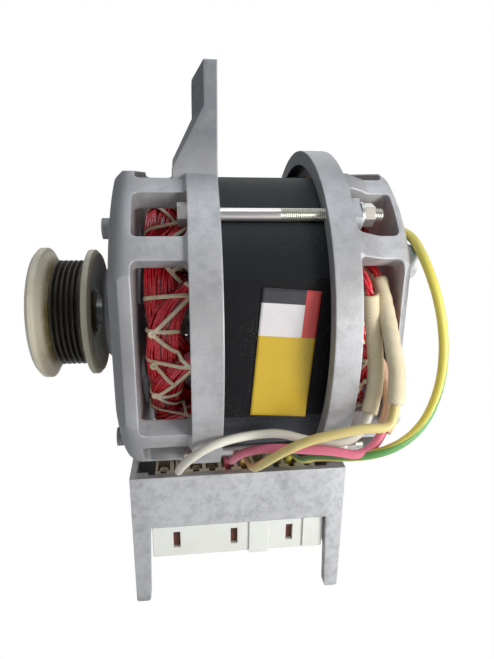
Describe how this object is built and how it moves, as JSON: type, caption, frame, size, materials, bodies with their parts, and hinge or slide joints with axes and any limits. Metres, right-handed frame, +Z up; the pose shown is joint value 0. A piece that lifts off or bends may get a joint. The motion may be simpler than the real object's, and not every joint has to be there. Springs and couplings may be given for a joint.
{
  "type": "washing machine motor",
  "caption": "Induction motor of a washing machine in a cast open cage, with a ribbed belt pulley, hanger lug, through bolts and a connector bracket below.",
  "frame": {"origin": "centre of the hole in the hanger lug", "axes": "+X along the shaft away from the pulley, +Y towards the side behind the connectors, +Z up towards the hanger lug"},
  "size_m": [0.1759, 0.1647, 0.256],
  "materials": {
    "cast_aluminium": "as cast, matte",
    "black_painted_steel": "satin black over laminations",
    "insulation_film": "translucent film",
    "winding_wire": "red enamelled copper wire",
    "protector_sleeve": "insulating sleeve",
    "zinc_steel": "zinc plated, passivated",
    "bearing_steel": "ground",
    "seal_rubber": "moulded",
    "shaft_steel": "turned and ground",
    "rotor_steel": "turned laminations",
    "rotor_aluminium": "die cast",
    "pulley_steel": "dark, worn on the crests",
    "cream_nylon": "aged moulding",
    "ivory_plastic": "moulded",
    "white_plastic": "moulded",
    "tinned_brass": "tin plated",
    "cream_sleeving": "varnished glass sleeving",
    "flesh_sleeving": "varnished glass sleeving",
    "white_lead": "insulated lead",
    "yellow_lead": "insulated lead",
    "pink_lead": "insulated lead",
    "earth_lead": "yellow lead with a green stripe"
  },
  "bodies": {
    "frame": {"drive_end_shield": "cast_aluminium", "rear_end_shield": "cast_aluminium", "stator_core": "black_painted_steel", "slot_liners": "insulation_film", "slot_wires": "winding_wire", "winding_drive": "winding_wire", "winding_drive_turns": "winding_wire", "winding_rear": "winding_wire", "winding_rear_turns": "winding_wire", "thermal_protector": "protector_sleeve", "through_bolts": "zinc_steel", "bolt_washers": "zinc_steel", "bolt_nuts": "zinc_steel", "bearing_drive_outer": "bearing_steel", "bearing_drive_seals": "seal_rubber", "bearing_rear_outer": "bearing_steel", "bearing_rear_seals": "seal_rubber", "preload_washer": "bearing_steel", "connector_bracket": "cast_aluminium", "bracket_screws": "zinc_steel", "connector_housing": "ivory_plastic", "crimp_terminals": "tinned_brass", "connector_header": "white_plastic", "header_pins": "tinned_brass", "earth_terminal": "tinned_brass", "earth_screw": "zinc_steel", "sleeve_white": "cream_sleeving", "sleeve_yellow": "cream_sleeving", "sleeve_pink": "flesh_sleeving", "lead_white": "white_lead", "lead_yellow": "yellow_lead", "lead_pink": "pink_lead", "lead_earth": "earth_lead"},
    "rotor": {"shaft": "shaft_steel", "rotor_core": "rotor_steel", "rotor_ring_drive": "rotor_aluminium", "rotor_ring_rear": "rotor_aluminium", "bearing_drive_inner": "bearing_steel", "bearing_rear_inner": "bearing_steel", "pulley_core": "pulley_steel", "pulley_flange_outer": "cream_nylon", "pulley_flange_inner": "cream_nylon"}
  },
  "joints": [
    {"name": "rotor_spin", "type": "hinge", "parent": "frame", "child": "rotor", "pos_m": [0, 0.021, -0.096], "axis": [1, 0, 0], "continuous": true}
  ]
}
